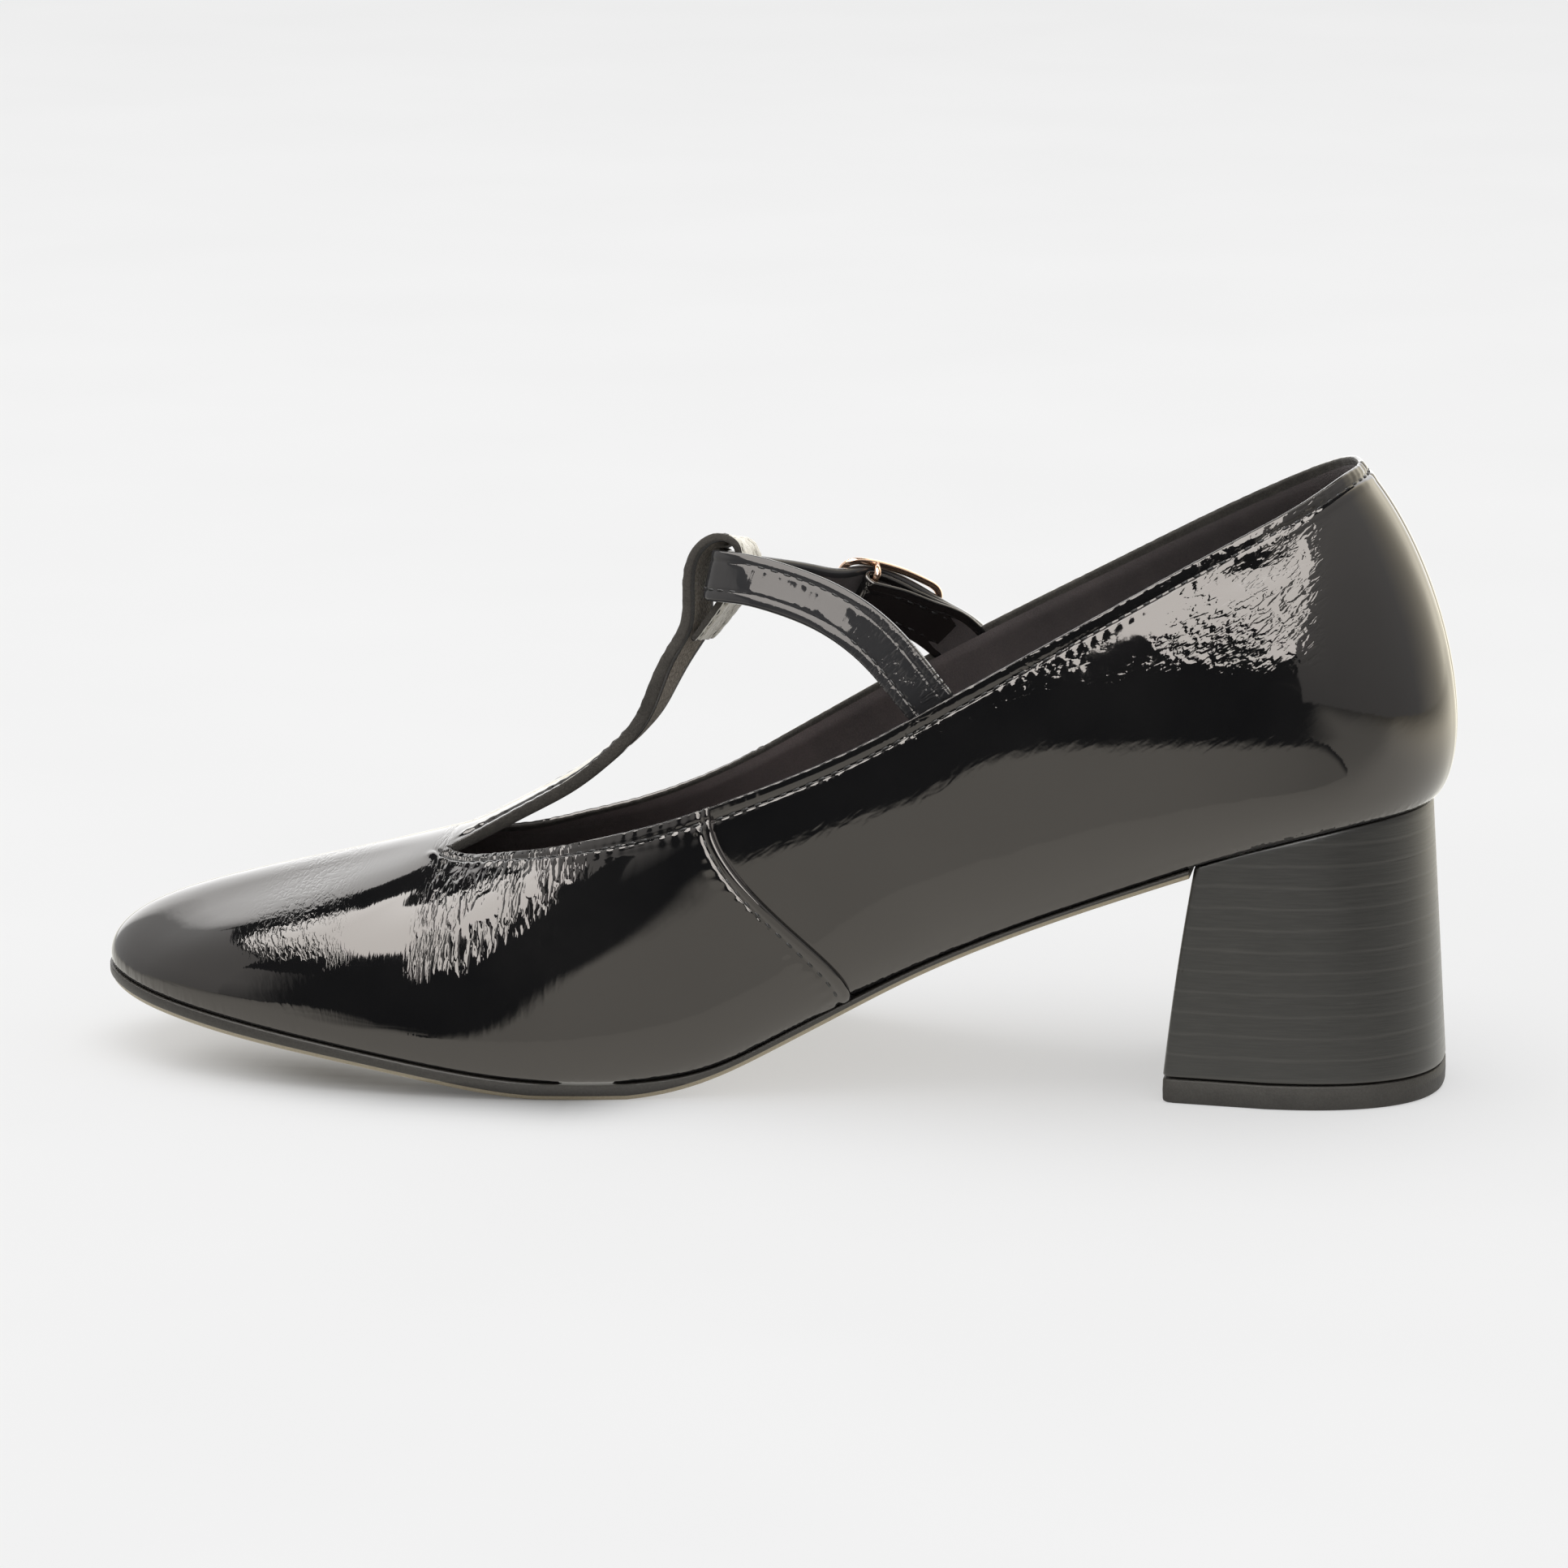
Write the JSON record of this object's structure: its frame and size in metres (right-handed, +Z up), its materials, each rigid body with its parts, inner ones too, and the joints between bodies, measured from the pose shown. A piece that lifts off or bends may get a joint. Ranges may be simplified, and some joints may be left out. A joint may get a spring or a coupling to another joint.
{
  "type": "t-bar pump",
  "caption": "Right-foot T-bar Mary Jane pump in black patent leather, with a buckled instep strap threaded through the T-bar and a flared block heel.",
  "frame": {"origin": "middle of the shoe's bounding box, on the floor that it stands on", "axes": "-X towards the toe, +X towards the heel; -Y medial side, +Y lateral side; +Z up"},
  "size_m": [0.2452, 0.0812, 0.1129],
  "materials": {
    "patent_leather": "black patent leather, mirror gloss, finely crinkled",
    "lining": "dark brown matte lining leather",
    "sole_unit": "dark satin sole edge over a tan tread layer",
    "stacked_heel": "dark grey-brown satin with faint stack lines",
    "top_piece_rubber": "dark matte rubber",
    "rose_gold": "polished rose-gold plate"
  },
  "bodies": {
    "root": {"upper": "patent_leather", "insole": "lining", "outsole": "sole_unit", "heel_block": "stacked_heel", "heel_top_piece": "top_piece_rubber", "instep_strap": "patent_leather", "buckle_strap": "patent_leather", "buckle_frame": "rose_gold", "buckle_prong": "rose_gold"}
  },
  "joints": []
}
